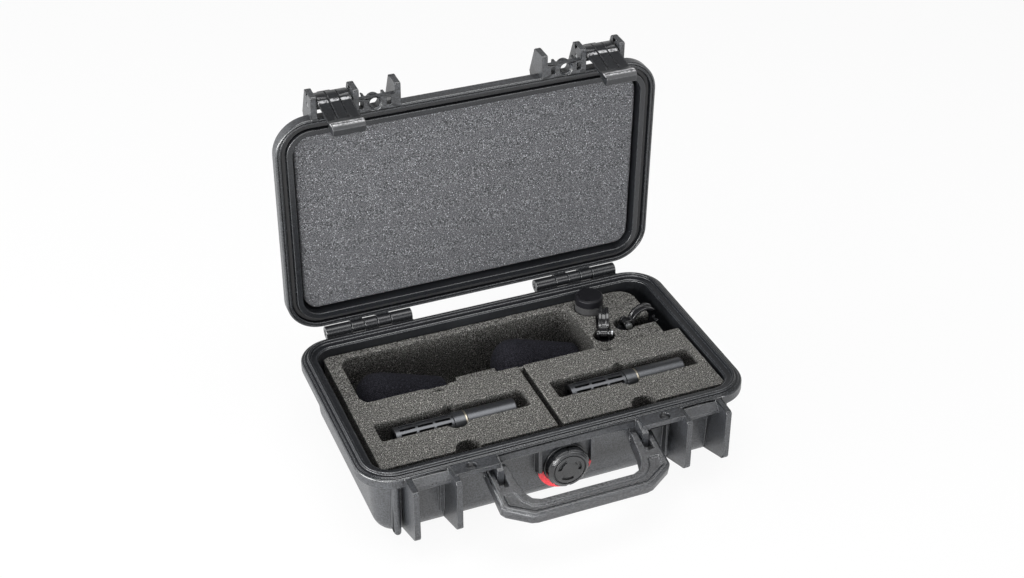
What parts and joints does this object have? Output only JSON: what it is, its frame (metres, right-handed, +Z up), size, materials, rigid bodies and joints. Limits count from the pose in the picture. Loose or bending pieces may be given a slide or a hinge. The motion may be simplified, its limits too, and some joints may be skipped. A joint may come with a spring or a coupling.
{
  "type": "microphone case",
  "caption": "Hinged protector case of ribbed black polymer with toggle latches, folding handle and pressure valve, its foam holding a pair of slim microphones, windscreens and clips.",
  "frame": {"origin": "centre of the base's underside, on the plane that its feet stand on", "axes": "+X along the case to the viewer's right, +Y to the hinges at the rear, +Z up; lid shown standing open"},
  "size_m": [0.296, 0.2596, 0.2681],
  "materials": {
    "case_polymer": "fine stippled moulded texture",
    "latch_polymer": "satin moulded",
    "handle_polymer": "satin moulded, smooth edges",
    "valve_polymer": "satin moulded",
    "cap_polymer": "satin turned",
    "pin_steel": "plain ground",
    "seal_rubber": "soft matt",
    "label_red": "printed film, plain",
    "lid_foam": "cut foam, fine open cells",
    "base_foam": "cut foam, fine open cells",
    "screen_foam": "moulded open-cell foam",
    "mic_metal": "satin dark coating",
    "mic_gauze": "fine dark woven wire",
    "plug_metal": "plated",
    "clip_nylon": "glossy moulded"
  },
  "bodies": {
    "base": {"base_shell": "case_polymer", "hinge_pins": "pin_steel", "handle_pins": "pin_steel", "valve_body": "valve_polymer", "valve_seal": "seal_rubber", "valve_label": "label_red", "base_pad": "base_foam", "rear_foam": "base_foam", "block_left": "base_foam", "block_right": "base_foam"},
    "lid": {"lid_shell": "case_polymer", "lid_gasket": "seal_rubber", "latch_pins": "pin_steel", "lid_foam": "lid_foam"},
    "latch_left": {"latch_left": "latch_polymer"},
    "latch_right": {"latch_right": "latch_polymer"},
    "handle": {"handle": "handle_polymer"},
    "valve_knob": {"valve_knob": "valve_polymer"},
    "mic_left": {"mic_left_tube": "mic_metal", "mic_left_grid": "mic_gauze", "mic_left_collar": "mic_metal", "mic_left_body": "mic_metal", "mic_left_plug": "plug_metal"},
    "mic_right": {"mic_right_tube": "mic_metal", "mic_right_grid": "mic_gauze", "mic_right_collar": "mic_metal", "mic_right_body": "mic_metal", "mic_right_plug": "plug_metal"},
    "screen_left": {"screen_left": "screen_foam"},
    "screen_right": {"screen_right": "screen_foam"},
    "clip_left": {"clip_left_ring": "clip_nylon", "clip_left_foot": "clip_nylon", "clip_left_screw": "pin_steel"},
    "clip_right": {"clip_right_ring": "clip_nylon", "clip_right_foot": "clip_nylon", "clip_right_screw": "pin_steel"},
    "adapter_cap": {"adapter_cap": "cap_polymer"}
  },
  "joints": [
    {"name": "lid_hinge", "type": "hinge", "parent": "base", "child": "lid", "pos_m": [0, 0.095, 0.0662], "axis": [-1, 0, 0], "range_deg": [-88, 0]},
    {"name": "latch_left_pivot", "type": "hinge", "parent": "lid", "child": "latch_left", "pos_m": [-0.1024, 0.09751, 0.2579], "axis": [-1, 0, 0], "range_deg": [-6, 70]},
    {"name": "latch_right_pivot", "type": "hinge", "parent": "lid", "child": "latch_right", "pos_m": [0.1024, 0.09751, 0.2579], "axis": [-1, 0, 0], "range_deg": [-6, 70]},
    {"name": "handle_pivot", "type": "hinge", "parent": "base", "child": "handle", "pos_m": [0, -0.092, 0.0512], "axis": [-1, 0, 0], "range_deg": [-75.3, 35]},
    {"name": "valve_turn", "type": "hinge", "parent": "base", "child": "valve_knob", "pos_m": [0.0005, -0.09, 0.038], "axis": [0, -1, 0], "range_deg": [0, 120]},
    {"name": "mic_left_lift", "type": "slide", "parent": "base", "child": "mic_left", "axis": [0, 0, 1], "range_m": [0, 0.06]},
    {"name": "mic_right_lift", "type": "slide", "parent": "base", "child": "mic_right", "axis": [0, 0, 1], "range_m": [0, 0.06]},
    {"name": "screen_left_lift", "type": "slide", "parent": "base", "child": "screen_left", "axis": [0, 0, 1], "range_m": [0, 0.06]},
    {"name": "screen_right_lift", "type": "slide", "parent": "base", "child": "screen_right", "axis": [0, 0, 1], "range_m": [0, 0.06]},
    {"name": "clip_left_lift", "type": "slide", "parent": "base", "child": "clip_left", "axis": [0, 0, 1], "range_m": [0, 0.05]},
    {"name": "clip_right_lift", "type": "slide", "parent": "base", "child": "clip_right", "axis": [0, 0, 1], "range_m": [0, 0.05]},
    {"name": "adapter_cap_lift", "type": "slide", "parent": "base", "child": "adapter_cap", "axis": [0, 0, 1], "range_m": [0, 0.06]}
  ]
}
